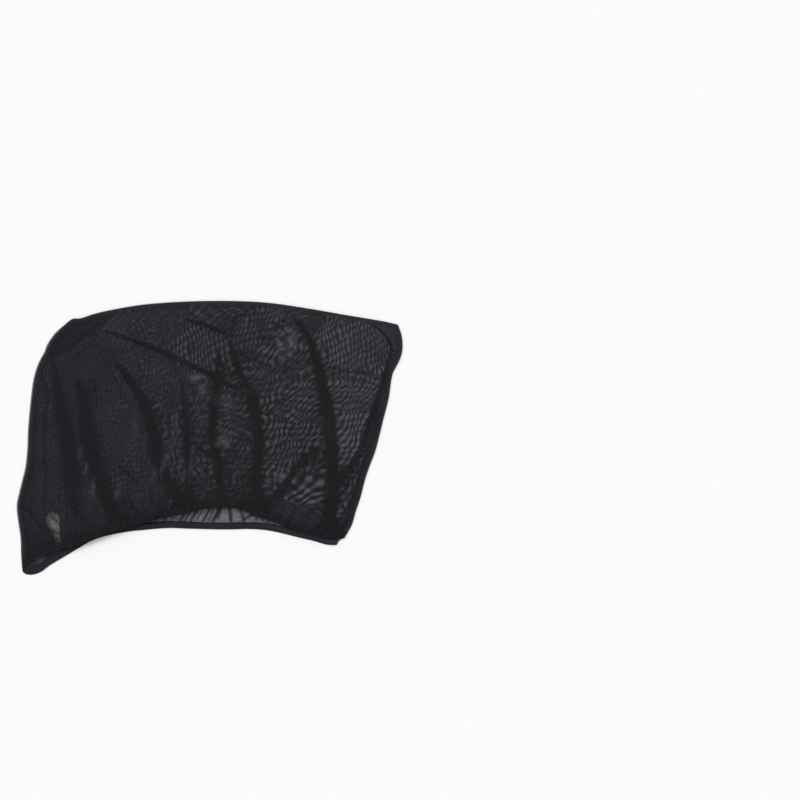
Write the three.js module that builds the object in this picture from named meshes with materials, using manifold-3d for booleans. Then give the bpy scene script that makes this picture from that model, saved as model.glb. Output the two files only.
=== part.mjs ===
// A car window insect net: a flat sleeve of two black stretch mesh panels, pulled over a door's window frame.
// Lengths are in millimetres. The net lies as on a table: X runs along it, Y up it and Z out of the table.
// The front panel lies uppermost. The panels are sewn together down both sides and along the top, and each
// has an elastic folded over its free lower edge.
import * as THREE from "three";
import { mergeVertices } from "three/addons/utils/BufferGeometryUtils.js";
import Module from "manifold-3d";

// Driving dimensions
const netLength = 740;
const netHeight = 525;
const clothThickness = 0.6;
const seamWidth = 8;
const seamThickness = 0.9;
const hemWidth = 13;
const hemOverlap = 6;
const hemLipThickness = 0.9;
const hemEdgeBevel = 0.6;
const keyholeLength = 63;
const keyholeWidth = 29;
const keyholeLean = 11;
const keyholeToHem = 0.5;
const clearance = 0.3;

// How the front panel lies: its stand above the seam, its folds and the gathers at its elastic
const puffHeight = 9;
const puffReach = 34;
const puffRoundness = 1.5;
const foldRise = 3;
const foldHalfWidth = 9;
const foldEdgeReach = 22;
const foldEndShare = 0.22;
const gatherCount = 40;
const gatherDepth = 2.2;
const gatherReach = 75;
const gatherUnevenness = 0.35;

// Fineness of the mesh
const frontColumns = 2 * gatherCount;
const frontRows = 24;
const rearColumns = 60;
const rowCrowding = 1.2;
const keyholeArcSteps = 10;

// Places on the net are shares of its length, from the left, and of its height, from the bottom
const leftSide = [
  [0.01, 0.128],
  [0, 0.252],
  [0.016, 0.354],
  [0.028, 0.5],
  [0.037, 0.675],
  [0.056, 0.77],
  [0.074, 0.825],
];
const topEdge = [
  [0.112, 0.9],
  [0.147, 0.935],
  [0.202, 0.953],
  [0.325, 0.987],
  [0.443, 0.999],
  [0.561, 1],
  [0.652, 0.993],
  [0.748, 0.974],
  [0.859, 0.947],
  [0.988, 0.913],
];
const rightSide = [
  [0.877, 0.223],
  [0.902, 0.347],
  [0.929, 0.453],
  [0.964, 0.646],
  [0.975, 0.739],
  [0.991, 0.781],
  [1, 0.847],
];
const frontHemEdge = [
  [0.015, 0.022],
  [0.028, 0.043],
  [0.056, 0.061],
  [0.088, 0.0825],
  [0.122, 0.098],
  [0.153, 0.106],
  [0.206, 0.132],
  [0.245, 0.153],
  [0.33, 0.19],
  [0.444, 0.226],
  [0.527, 0.246],
  [0.579, 0.2415],
  [0.61, 0.226],
  [0.649, 0.202],
  [0.702, 0.175],
  [0.735, 0.158],
  [0.768, 0.145],
  [0.804, 0.134],
  [0.849, 0.133],
];
const rearHemEdge = [
  [0.014, 0.007],
  [0.042, 0.002],
  [0.087, 0.035],
  [0.159, 0.096],
  [0.196, 0.124],
  [0.29, 0.158],
  [0.395, 0.171],
  [0.535, 0.166],
  [0.62, 0.167],
  [0.709, 0.144],
  [0.768, 0.124],
  [0.825, 0.107],
];
// The keyhole's tip stands over this share of the front hem's length
const keyholeAlongHem = 0.131;

// The folds of the front panel as it lies. Height and width are against those of a plain fold
const folds = [
  { height: 1.53, width: 1.44, route: [[0.22, 0.881], [0.373, 0.821], [0.512, 0.726], [0.582, 0.675]] },
  { height: 1, width: 1.44, route: [[0.436, 0.931], [0.5, 0.9], [0.554, 0.876]] },
  { height: 1.67, width: 1.11, route: [[0.554, 0.843], [0.596, 0.686], [0.631, 0.489], [0.623, 0.33]] },
  { height: 2, width: 1.11, route: [[0.703, 0.954], [0.749, 0.89], [0.815, 0.62], [0.807, 0.2]] },
  { height: 1.13, width: 1, route: [[0.7, 0.949], [0.66, 0.9], [0.63, 0.858]] },
  { height: 0.8, width: 1.33, route: [[0.574, 0.799], [0.62, 0.775], [0.665, 0.759]] },
  { height: 1, width: 1, route: [[0.245, 0.803], [0.338, 0.599], [0.373, 0.489], [0.429, 0.266]] },
  { height: 1.13, width: 1, route: [[0.096, 0.774], [0.123, 0.569], [0.144, 0.332]] },
  { height: 1.13, width: 1, route: [[0.158, 0.715], [0.193, 0.569], [0.213, 0.412], [0.255, 0.244]] },
  { height: 1, width: 1, route: [[0.537, 0.85], [0.526, 0.666], [0.519, 0.489], [0.547, 0.296]] },
  { height: 0.87, width: 1, route: [[0.443, 0.686], [0.449, 0.489], [0.47, 0.296]] },
  { height: 1, width: 1, route: [[0.797, 0.471], [0.693, 0.314], [0.623, 0.245]] },
  { height: 1, width: 1, route: [[0.967, 0.821], [0.901, 0.453], [0.853, 0.197]] },
];

const wasm = await Module();
wasm.setup();

function place([across, up]) {
  return new THREE.Vector2((across - 0.5) * netLength, (up - 0.5) * netHeight);
}

// A smooth curve in the plane of the table through the given places
function curveThrough(places) {
  const points = places.map((p) => place(p)).map((p) => new THREE.Vector3(p.x, p.y, 0));
  return new THREE.CatmullRomCurve3(points, false, "centripetal");
}

function pointAt(curve, share) {
  const p = curve.getPointAt(share);
  return new THREE.Vector2(p.x, p.y);
}

function distanceToRoute(point, route) {
  let nearest = Infinity;
  let shareThere = 0;
  for (let k = 0; k + 1 < route.length; k++) {
    const along = route[k + 1].clone().sub(route[k]);
    const t = THREE.MathUtils.clamp(point.clone().sub(route[k]).dot(along) / along.lengthSq(), 0, 1);
    const distance = route[k].clone().addScaledVector(along, t).distanceTo(point);
    if (distance < nearest) {
      nearest = distance;
      shareThere = (k + t) / (route.length - 1);
    }
  }
  return { nearest, shareThere };
}

// The levels above the table
const hemThickness = clothThickness + clearance + hemLipThickness;
const seamTop = clothThickness + clearance + seamThickness;
const frontLevel = Math.max(hemThickness, seamTop) + clearance;

// The edge of a panel: its free lower end with the direction into the cloth there, its two sides and its top
function panelEdge(hemPlaces, columns, rows) {
  const hem = curveThrough(hemPlaces);
  const left = curveThrough([hemPlaces[0], ...leftSide, topEdge[0]]);
  const right = curveThrough([hemPlaces.at(-1), ...rightSide, topEdge.at(-1)]);
  const top = curveThrough(topEdge);
  const hemDepth = hemWidth + clearance;
  const leftFrom = hemDepth / left.getLength();
  const rightFrom = hemDepth / right.getLength();
  const leftUp = pointAt(left, leftFrom).sub(pointAt(left, 0)).normalize();
  const rightUp = pointAt(right, rightFrom).sub(pointAt(right, 0)).normalize();
  const edge = { free: [], inward: [], left: [], right: [], top: [] };
  const endShare = 0.08;
  for (let i = 0; i <= columns; i++) {
    const u = i / columns;
    const tangent = hem.getTangentAt(u);
    const inward = new THREE.Vector2(-tangent.y, tangent.x);
    inward.lerp(leftUp, 1 - THREE.MathUtils.smoothstep(u, 0, endShare));
    inward.lerp(rightUp, THREE.MathUtils.smoothstep(u, 1 - endShare, 1));
    edge.free.push(pointAt(hem, u));
    edge.inward.push(inward.normalize());
    edge.top.push(pointAt(top, u));
  }
  for (let j = 0; j <= rows; j++) {
    const w = (j / rows) ** rowCrowding;
    edge.left.push(pointAt(left, leftFrom + (1 - leftFrom) * w));
    edge.right.push(pointAt(right, rightFrom + (1 - rightFrom) * w));
  }
  return edge;
}

// A line of points a fixed distance in from the free lower end
function insideHem(edge, distance) {
  return edge.free.map((p, i) => p.clone().addScaledVector(edge.inward[i], distance));
}

const frontEdge = panelEdge(frontHemEdge, frontColumns, frontRows);
const rearEdge = panelEdge(rearHemEdge, rearColumns, frontRows);
const sewnLine = [...frontEdge.left, ...frontEdge.top, ...frontEdge.right.toReversed()];
const sewnToHem = [frontEdge.free[0], ...sewnLine, frontEdge.free.at(-1)];
const clothEdgeInHem = hemWidth - hemOverlap + clearance;

const foldRoutes = folds.map(({ height, width, route }) => {
  const curve = curveThrough(route);
  const points = curve.getPoints(4 * route.length).map((p) => new THREE.Vector2(p.x, p.y));
  return { rise: height * foldRise, halfWidth: width * foldHalfWidth, points };
});

// The underside of the front panel without its folds: it leaves the seam and levels off like a flat pillow
function restLevel(point) {
  const { nearest } = distanceToRoute(point, sewnToHem);
  return frontLevel + puffHeight * (1 - Math.exp(-((nearest / puffReach) ** puffRoundness)));
}

// The folds stand highest at the middle of their route and run out at its ends
function foldHeight(point) {
  const tallest = foldRoutes.map(({ rise, halfWidth, points }) => {
    const { nearest, shareThere } = distanceToRoute(point, points);
    const start = THREE.MathUtils.smoothstep(shareThere, 0, foldEndShare);
    const end = THREE.MathUtils.smoothstep(1 - shareThere, 0, foldEndShare);
    return rise * Math.exp(-((nearest / halfWidth) ** 2)) * start * end;
  });
  return Math.max(...tallest);
}

// Each second column of the front panel is a ridge of a gather, of uneven height and length
function gatherHeight(column, fromHem) {
  const uneven = 1 - gatherUnevenness * (1 - Math.sin(2.4 * column));
  const reach = gatherReach * (1 - gatherUnevenness * Math.sin(1.1 * column));
  const side = column % 2 ? 1 : -1;
  return side * gatherDepth * uneven * Math.exp(-fromHem / reach);
}

function clothLevel(point, column, fromHem) {
  const toSeam = distanceToRoute(point, sewnToHem).nearest;
  const free = 1 - Math.exp(-toSeam / foldEdgeReach);
  return restLevel(point) + free * (foldHeight(point) + gatherHeight(column, fromHem));
}

// A closed body from rings of points: each ring is one cross-section and the two end rings are capped
function bodyFromRings(rings, section) {
  const size = section.length;
  const positions = rings.flat().flatMap((p) => [p.x, p.y, p.z]);
  const faces = [];
  for (let r = 0; r + 1 < rings.length; r++) {
    for (let k = 0; k < size; k++) {
      const a = r * size + k;
      const b = r * size + ((k + 1) % size);
      faces.push(a, b, a + size, b, b + size, a + size);
    }
  }
  const cap = THREE.ShapeUtils.triangulateShape(section.map(([s, t]) => new THREE.Vector2(s, t)), []);
  const last = (rings.length - 1) * size;
  cap.forEach(([a, b, c]) => faces.push(a, c, b, last + a, last + b, last + c));
  return new THREE.BufferGeometry()
    .setAttribute("position", new THREE.Float32BufferAttribute(positions, 3))
    .setIndex(faces);
}

// The elastic's cross-section: in from the free edge, and up. The cloth's edge lies in the step under its lip
const hemSection = [
  [0, 0],
  [hemWidth - hemOverlap, 0],
  [hemWidth - hemOverlap, clothThickness + clearance],
  [hemWidth, clothThickness + clearance],
  [hemWidth, hemThickness],
  [hemEdgeBevel, hemThickness],
  [0, hemThickness - hemEdgeBevel],
];

function hemElastic(edge, levelAt) {
  const rings = edge.free.map((p, i) => {
    const level = levelAt(i);
    return hemSection.map(([s, t]) => {
      const q = p.clone().addScaledVector(edge.inward[i], s);
      return new THREE.Vector3(q.x, q.y, level + t);
    });
  });
  return bodyFromRings(rings, hemSection);
}

const frontHemLevels = insideHem(frontEdge, hemWidth / 2).map((p) => restLevel(p));

// The front panel as rows of points: one in the elastic's step, one at its lip, then up to the top seam
function frontPanelRows() {
  const underLip = insideHem(frontEdge, clothEdgeInHem);
  const atLip = insideHem(frontEdge, hemWidth + clearance);
  const onHem = (line) => line.map((p, i) => new THREE.Vector3(p.x, p.y, frontHemLevels[i]));
  const rows = [onHem(underLip), onHem(atLip)];
  const { left, right, top } = frontEdge;
  for (let j = 1; j <= frontRows; j++) {
    const w = (j / frontRows) ** rowCrowding;
    const row = [];
    for (let i = 0; i <= frontColumns; i++) {
      const u = i / frontColumns;
      const point = atLip[i].clone().multiplyScalar(1 - w);
      point.addScaledVector(top[i], w);
      point.addScaledVector(left[j].clone().sub(atLip[0].clone().lerp(top[0], w)), 1 - u);
      point.addScaledVector(right[j].clone().sub(atLip.at(-1).clone().lerp(top.at(-1), w)), u);
      row.push(new THREE.Vector3(point.x, point.y, clothLevel(point, i, point.distanceTo(atLip[i]))));
    }
    rows.push(row);
  }
  return rows;
}

// A sheet of even thickness, closed all round, over a grid of points on its underside
function sheetOver(rows, thickness) {
  const width = rows[0].length;
  const count = rows.length * width;
  const under = rows.flat();
  const over = under.map((p) => new THREE.Vector3(p.x, p.y, p.z + thickness));
  const positions = [...under, ...over].flatMap((p) => [p.x, p.y, p.z]);
  const faces = [];
  for (let j = 0; j + 1 < rows.length; j++) {
    for (let i = 0; i + 1 < width; i++) {
      const a = j * width + i;
      const b = a + 1;
      const c = a + width;
      const d = c + 1;
      faces.push(a, c, b, b, c, d);
      faces.push(count + a, count + b, count + c, count + b, count + d, count + c);
    }
  }
  const rim = [];
  for (let i = 0; i + 1 < width; i++) rim.push(i);
  for (let j = 0; j + 1 < rows.length; j++) rim.push((j + 1) * width - 1);
  for (let i = width - 1; i > 0; i--) rim.push((rows.length - 1) * width + i);
  for (let j = rows.length - 1; j > 0; j--) rim.push(j * width);
  rim.forEach((a, k) => {
    const b = rim[(k + 1) % rim.length];
    faces.push(a, b, count + a, b, count + b, count + a);
  });
  return new THREE.BufferGeometry()
    .setAttribute("position", new THREE.Float32BufferAttribute(positions, 3))
    .setIndex(faces);
}

function extruded(outline, thickness, level) {
  const flat = new THREE.Shape(outline);
  return new THREE.ExtrudeGeometry(flat, { depth: thickness, bevelEnabled: false }).translate(0, 0, level);
}

function solidFrom(geometry) {
  const bare = geometry.clone();
  bare.deleteAttribute("normal");
  bare.deleteAttribute("uv");
  const merged = mergeVertices(bare, 1e-4);
  return new wasm.Manifold(
    new wasm.Mesh({
      numProp: 3,
      vertProperties: merged.attributes.position.array,
      triVerts: new Uint32Array(merged.index.array),
    }),
  );
}

function geometryFrom(solid) {
  const mesh = solid.getMesh();
  return new THREE.BufferGeometry()
    .setAttribute("position", new THREE.BufferAttribute(mesh.vertProperties, 3))
    .setIndex(new THREE.BufferAttribute(mesh.triVerts, 1));
}

// A drop with a round top and a pointed lower end, which leans to the right as it goes down to the hem
function keyholeOutline() {
  const radius = keyholeWidth / 2;
  const toTip = keyholeLength - radius;
  const touch = Math.asin(radius / toTip);
  const shape = new THREE.Shape();
  shape.absarc(0, toTip, radius, -touch, Math.PI + touch, false);
  shape.lineTo(0, 0);
  const lean = THREE.MathUtils.degToRad(keyholeLean);
  const outline = shape.extractPoints(keyholeArcSteps).shape;
  const hem = curveThrough(frontHemEdge);
  const tangent = hem.getTangentAt(keyholeAlongHem);
  const inward = new THREE.Vector2(-tangent.y, tangent.x);
  const tip = pointAt(hem, keyholeAlongHem).addScaledVector(inward, hemWidth + clearance + keyholeToHem);
  return outline.map((p) => p.rotateAround(new THREE.Vector2(0, 0), lean).add(tip));
}

function frontPanel() {
  const whole = solidFrom(sheetOver(frontPanelRows(), clothThickness));
  const cutter = solidFrom(extruded(keyholeOutline(), 4 * (frontLevel + puffHeight), 0));
  return geometryFrom(whole.subtract(cutter));
}

function rearPanel() {
  const inHem = insideHem(rearEdge, clothEdgeInHem);
  const outline = [...inHem, ...rearEdge.right, ...rearEdge.top.toReversed(), ...rearEdge.left.toReversed()];
  return extruded(outline.filter((p, k) => p.distanceTo(outline.at(k - 1)) > 0.01), clothThickness, 0);
}

// The sewn allowance lies flat between the panels, from the one elastic round to the other
function edgeSeam() {
  const line = [...rearEdge.left, ...rearEdge.top, ...rearEdge.right.toReversed()];
  const outer = line.filter((p, k) => k === 0 || p.distanceTo(line[k - 1]) > 0.01);
  const inner = outer.map((p, k) => {
    const before = outer[Math.max(k - 1, 0)];
    const after = outer[Math.min(k + 1, outer.length - 1)];
    const into = p.clone().sub(before).normalize();
    const on = after.clone().sub(p).normalize();
    if (k === 0) into.copy(on);
    if (k === outer.length - 1) on.copy(into);
    const bisector = into.clone().add(on).normalize();
    const inward = new THREE.Vector2(bisector.y, -bisector.x);
    return p.clone().addScaledVector(inward, seamWidth / Math.max(bisector.dot(into), 0.5));
  });
  return extruded([...outer, ...inner.toReversed()], seamThickness, clothThickness + clearance);
}

function finish(colour, roughness) {
  return new THREE.MeshStandardMaterial({ color: colour, roughness, metalness: 0 });
}

function piece(name, geometry, material) {
  const mesh = new THREE.Mesh(geometry, material);
  mesh.name = name;
  return mesh;
}

const net = new THREE.Group();
net.add(
  piece("front_panel", frontPanel(), finish(0x26262a, 0.85)),
  piece("rear_panel", rearPanel(), finish(0x2a2a2e, 0.85)),
  piece("front_hem_elastic", hemElastic(frontEdge, (i) => frontHemLevels[i]), finish(0x1f2024, 0.75)),
  piece("rear_hem_elastic", hemElastic(rearEdge, () => 0), finish(0x26292f, 0.75)),
  piece("edge_seam", edgeSeam(), finish(0x1c1c1f, 0.8)),
);

// The origin is under the middle of the net, on the table
const extent = new THREE.Box3().setFromObject(net);
const middle = extent.getCenter(new THREE.Vector3());
net.position.set(-middle.x, -middle.y, -extent.min.z);

export default net;
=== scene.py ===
import math
from collections import namedtuple

import bpy
import numpy as np
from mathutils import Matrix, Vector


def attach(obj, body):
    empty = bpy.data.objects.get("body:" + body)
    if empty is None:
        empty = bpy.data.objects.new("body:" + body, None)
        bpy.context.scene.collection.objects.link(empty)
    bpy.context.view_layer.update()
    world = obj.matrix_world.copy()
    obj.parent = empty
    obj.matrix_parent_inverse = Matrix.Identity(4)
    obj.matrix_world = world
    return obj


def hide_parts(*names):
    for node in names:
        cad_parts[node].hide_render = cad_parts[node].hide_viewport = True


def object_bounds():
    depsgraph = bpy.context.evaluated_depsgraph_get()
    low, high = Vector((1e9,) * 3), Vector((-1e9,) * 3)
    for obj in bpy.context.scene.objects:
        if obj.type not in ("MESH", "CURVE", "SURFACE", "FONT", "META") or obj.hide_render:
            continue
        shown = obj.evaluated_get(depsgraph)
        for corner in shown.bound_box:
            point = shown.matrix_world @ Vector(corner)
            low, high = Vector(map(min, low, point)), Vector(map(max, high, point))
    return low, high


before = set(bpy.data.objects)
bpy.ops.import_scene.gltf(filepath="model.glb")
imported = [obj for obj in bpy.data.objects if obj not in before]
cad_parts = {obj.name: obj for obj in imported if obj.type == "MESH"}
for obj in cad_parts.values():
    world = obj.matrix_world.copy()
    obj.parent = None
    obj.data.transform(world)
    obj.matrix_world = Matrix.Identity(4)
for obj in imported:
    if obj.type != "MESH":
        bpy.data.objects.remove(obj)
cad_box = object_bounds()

# A car window insect net of black stretch mesh, laid flat on a pale floor and seen from above.
# Lengths are in metres. Places on the net are given in pixels of the photograph, as (across, down).

# The net's reach in the photograph, and the camera
NET_LEFT_PX, NET_RIGHT_PX = 16.6, 402.4
NET_TOP_PX, NET_BOTTOM_PX = 301.0, 575.0
PHOTO_SIDE_PX = 800
CAMERA_HEIGHT = 2.6

# Levels above the floor, and the sizes of the sewn parts
REAR_LEVEL = 0.0004
SEAM_LOW, SEAM_HIGH = 0.0009, 0.0018
SEAM_WIDTH = 0.008
FRONT_EDGE_LEVEL = 0.0022
PUFF_HEIGHT = 0.0085
PUFF_REACH = 0.034
HEM_WIDTH = 0.013
HEM_THICKNESS = 0.0018
KEYHOLE_RIM = 0.0008
THREAD = 0.00045
MM = 0.001

# How the front net lies: how near the seam and the hem hold it flat, its soft waves as height and size, and
# the ripples that the elastic gathers
SEAM_HOLD = 0.02
HEM_HOLD = (0.004, 0.035)
BROAD_WAVE = (0.9 * MM, 0.05)
SMALL_WAVE = (0.5 * MM, 0.021)
CREASE_DEPTH = 0.7 * MM
RIPPLE_HEIGHT = 1.1 * MM
RIPPLE_HOLD = 0.012

# The seed and the number of waves in the gathers of each cloth and of the rear hem
FRONT_GATHERS, REAR_GATHERS, REAR_HEM_GATHERS = (11, 9), (23, 11), (5, 8)

# How far the shade reaches from the hem, from its gathers and from the keyhole, and the seam's dark line
HEM_SHADE_REACH = 0.03
GATHER_SHADE_REACH = 0.05
KEYHOLE_SHADE_REACH = 0.006
SEAM_LINE_WIDTH = 1.1 * MM

# Fineness of the meshes
FRONT_COLUMNS, FRONT_ROWS = 374, 254
REAR_COLUMNS, REAR_ROWS = 260, 170
HEM_STATIONS = 260

LEFT_SIDE = [
    (21.5, 560), (20.3, 536), (18.2, 522), (16.7, 506), (19.6, 491), (22.8, 478), (25.4, 467),
    (27.4, 447), (28.0, 430), (30.9, 398), (33.8, 377.5), (38, 364), (41.2, 357.5), (45.2, 350.2),
    (46.2, 346.4), (54, 334.2),
]
TOP_EDGE = [
    (61, 327.4), (67, 323), (73.2, 318.7), (79.7, 318.6), (94.6, 313.8), (110, 310.3), (142, 304.8),
    (187.5, 301.5), (233, 301), (268, 302.8), (305, 308), (348, 315.4), (385, 321.7), (397.8, 324.7),
]
RIGHT_SIDE = [
    (351.7, 524.6), (354.8, 514), (360.6, 496), (364.7, 480), (369, 467), (375, 451), (382.9, 420),
    (388.4, 398), (391, 380), (392.9, 372.2), (398.8, 361), (401.8, 352), (402.3, 343), (401.3, 335),
]
FRONT_HEM_EDGE = [
    (23.5, 568), (27.6, 563.2), (38, 558.2), (50.6, 552.4), (63.8, 548.2), (75.8, 546), (96, 538.8),
    (111, 533), (129.8, 526.8), (144, 523), (163, 518.6), (187.8, 513.2), (206, 508.9), (220, 507.3),
    (236.4, 508.3), (245, 511), (256, 515.6), (266.8, 519.6), (277, 523), (287.4, 527), (300, 531.6),
    (312.8, 535.3), (326.8, 538.6), (344, 538.6),
]
REAR_HEM_EDGE = [
    (22.8, 572), (26, 574.4), (33.9, 574.7), (41.4, 571.8), (49.4, 565.9), (63.8, 557.2), (78, 548.8),
    (91, 541.4), (103, 537), (128.6, 531.8), (142, 530.3), (168.8, 528.2), (190, 528.9), (223, 529.6),
    (256, 529.4), (273.5, 531.6), (300, 538), (313.4, 541.1), (327, 544.9), (336.5, 545.4),
]
KEYHOLE = [
    (54.2, 511.6), (49.6, 513.2), (46.9, 517.6), (47.6, 522.5), (50.4, 527.5), (53, 532), (55.3, 537.8),
    (57.6, 543.2), (60.4, 544.9), (62.2, 542.6), (62.0, 538), (61.5, 533), (61.3, 525), (61.0, 519),
    (58.9, 513.6),
]

Fold = namedtuple("Fold", "route band soft rise lapped dark glint to_hem")

# The folds of the front net. band is half the fold's width as seen from above and rise its height, both in
# mm, and soft is how soft its edges are. A lapped fold lies over itself. dark is its shade, and glint the
# light line along its ridge. A fold that runs to the hem keeps its strength there.
FOLDS = [
    Fold([(96, 330), (108, 332), (134, 340.5), (160.7, 350.5), (187.5, 363), (214, 376.5),
          (243, 392), (255, 399)],
         5.4, 0.15, 4.0, False, 1.5, 0.55, False),
    Fold([(184.8, 319), (207, 325), (232, 336)], 4.5, 0.4, 3.0, True, 0.8, 0.4, False),
    Fold([(229, 335), (237, 362), (247, 387), (256.5, 414), (259.5, 441), (257.5, 484), (256, 515)],
         11.0, 0.4, 5.0, True, 1.05, 0.0, True),
    Fold([(289, 312), (305.4, 331), (316, 358), (323, 387), (328.5, 414), (332, 451),
          (331.5, 484), (328, 525)],
         13.0, 0.35, 5.5, True, 1.0, 0.15, True),
    Fold([(287.5, 315), (273, 328), (258, 342)], 2.4, 0.4, 3.0, False, 1.0, 0.4, False),
    Fold([(112, 357), (124, 370), (137, 388), (147, 405), (156, 437), (167, 477), (187, 513)],
         11.0, 0.4, 4.5, True, 1.2, 0.1, True),
    Fold([(53, 357), (58, 385), (64, 422), (69, 455), (76, 500)], 13.0, 0.8, 3.8, False, 1.1, 0.0, True),
    Fold([(76, 372), (86, 400), (92, 437), (101, 477), (119, 520)],
         15.0, 0.7, 4.4, False, 1.3, 0.0, True),
    Fold([(219, 345), (218, 392.5), (213, 430), (219, 462), (223, 500)],
         8.5, 0.5, 4.0, True, 1.0, 0.0, True),
    Fold([(181, 374), (186, 410), (188, 441), (190, 470), (196, 506)],
         6.5, 0.5, 3.0, True, 0.95, 0.15, True),
    Fold([(196, 443), (211, 460), (221, 476)], 2.6, 0.5, 2.4, False, 0.9, 0.0, False),
    Fold([(245, 430), (235, 448), (226, 467), (222, 490)], 3.4, 0.5, 2.4, False, 0.9, 0.0, False),
    Fold([(327, 437), (308, 455), (294, 473), (280, 492), (268, 508)],
         7.5, 0.5, 3.0, True, 1.0, 0.35, False),
    Fold([(390, 352), (381, 385), (373, 410), (361, 447), (346, 480), (336, 515)],
         4.6, 0.5, 2.5, False, 1.05, 0.0, False),
    Fold([(384, 378), (375, 420), (364, 460), (352, 500), (341, 530)],
         3.0, 0.5, 2.0, False, 0.7, 0.0, False),
    Fold([(360, 318), (376, 327), (387, 338), (391.5, 349), (388, 362), (384, 376)],
         2.2, 0.4, 2.0, False, 1.0, 0.0, False),
]

# Thin creases of the front net, pressed into it and darkened with painted shade: route, and half width in mm
CREASES = [
    ([(234, 351), (252, 359), (275, 368)], 1.7), ([(320, 363), (344, 371), (371, 375)], 1.3),
    ([(262, 405), (280, 401), (299, 392)], 1.6), ([(236, 313), (234, 325), (229, 340)], 2.6),
    ([(259, 306), (244, 313), (234, 322)], 1.6),
    ([(60, 356), (75, 345), (85, 337), (97, 328), (112, 318)], 2.0),
    ([(74, 358), (86, 349), (98, 336)], 1.4), ([(99, 356), (107, 349), (117, 345)], 1.4),
    ([(112, 361), (122, 375), (132, 391), (138, 402)], 1.5), ([(94, 378), (98, 395), (101, 410)], 1.2),
    ([(47, 349), (54, 358)], 1.8), ([(46, 400), (44, 440), (46, 475), (44, 520)], 1.6),
    ([(63, 400), (64, 440), (63, 480), (66, 512), (75, 533)], 1.3),
    ([(22, 508), (30, 511), (37, 521), (50, 537)], 1.8), ([(51, 508), (54, 501), (61, 497)], 1.2),
    ([(120, 464), (130, 474), (140, 485)], 1.4), ([(143, 440), (152, 468), (157, 484)], 1.4),
    ([(150, 486), (153, 502)], 1.2), ([(178, 489), (185, 490)], 1.2),
    ([(232, 489), (226, 494), (222, 507)], 1.5), ([(197, 484), (194, 492)], 1.2),
    ([(255, 511), (257, 506), (270, 501), (282, 494)], 1.1), ([(265, 518), (272, 505), (281, 495)], 1.1),
    ([(282, 521), (281.5, 513), (286, 503)], 1.2),
    ([(290, 521), (297, 505), (309, 495), (320, 486)], 1.2), ([(302, 520), (312, 508), (324, 498)], 1.0),
    ([(310, 533), (321, 522), (330, 517), (333, 508)], 1.2),
    ([(325, 538), (333, 528), (338, 512), (345, 492)], 1.1), ([(296, 527), (301, 519)], 1.0),
    ([(335, 524), (342, 508), (350, 486)], 1.2), ([(240, 506), (247, 500), (258, 497)], 1.2),
    ([(206, 497), (213, 504)], 1.1), ([(175, 506), (170, 496), (166, 484)], 1.1),
    ([(134, 512), (129, 500), (122, 489)], 1.3), ([(107, 520), (100, 505), (96, 492)], 1.3),
    ([(87, 528), (83, 510), (80, 494)], 1.2), ([(158, 510), (152, 499)], 1.2),
    ([(42, 372), (47, 390), (48, 408)], 1.4), ([(268, 312), (262, 330), (262, 342)], 1.1),
    ([(243, 391), (254, 399)], 1.3), ([(208, 312), (222, 318), (234, 318)], 1.3),
    ([(232, 345), (226, 365), (222, 384)], 1.6), ([(222, 507), (226, 494), (236, 484)], 2.2),
    ([(216, 505), (208, 492), (198, 482)], 2.0), ([(250, 508), (243, 496), (236, 486)], 2.0),
    ([(232, 506), (240, 492), (246, 478)], 1.6), ([(262, 514), (274, 500), (288, 490)], 2.0),
    ([(186, 510), (176, 496), (168, 480)], 1.8), ([(200, 508), (196, 494), (194, 480)], 1.8),
    ([(207, 474), (200, 455), (196, 440)], 1.6), ([(240, 478), (252, 462), (257, 448)], 1.4),
    ([(141, 515), (133, 500), (129, 486)], 1.6),
    ([(96, 328), (108, 332), (134, 340.5), (160.7, 350.5), (187.5, 363)], 1.7),
    ([(372, 425), (362, 455), (348, 490), (333, 530)], 1.8), ([(391, 352), (386, 376), (374, 420)], 1.8),
]

# How far a lapped fold's cloth runs back over itself at its middle, over what reach for a band one wide, and
# the same for a plain fold
LAP, LAP_REACH = 2.8, 1.5
PINCH, PINCH_REACH = 0.75, 1.8

# How far from a fold or a crease the cloth is looked at, the shares of a fold's length over which it starts
# and fades, where it ends across in reaches, and the strength of the streaks in its painted shade, of its
# painted dark edge and of the painted light on its ridge
FOLD_MARGIN, CREASE_MARGIN = 0.06, 0.02
FOLD_START, FOLD_FADE, CREASE_FADE = 0.08, 0.2, 0.15
FOLD_END = 2.4
STREAK_DEPTH, EDGE_SHADE, RIDGE_LIGHT = 0.22, 0.35, 0.15

Moire = namedtuple("Moire", "centre reach turn spacing warp strength haze")
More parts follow.
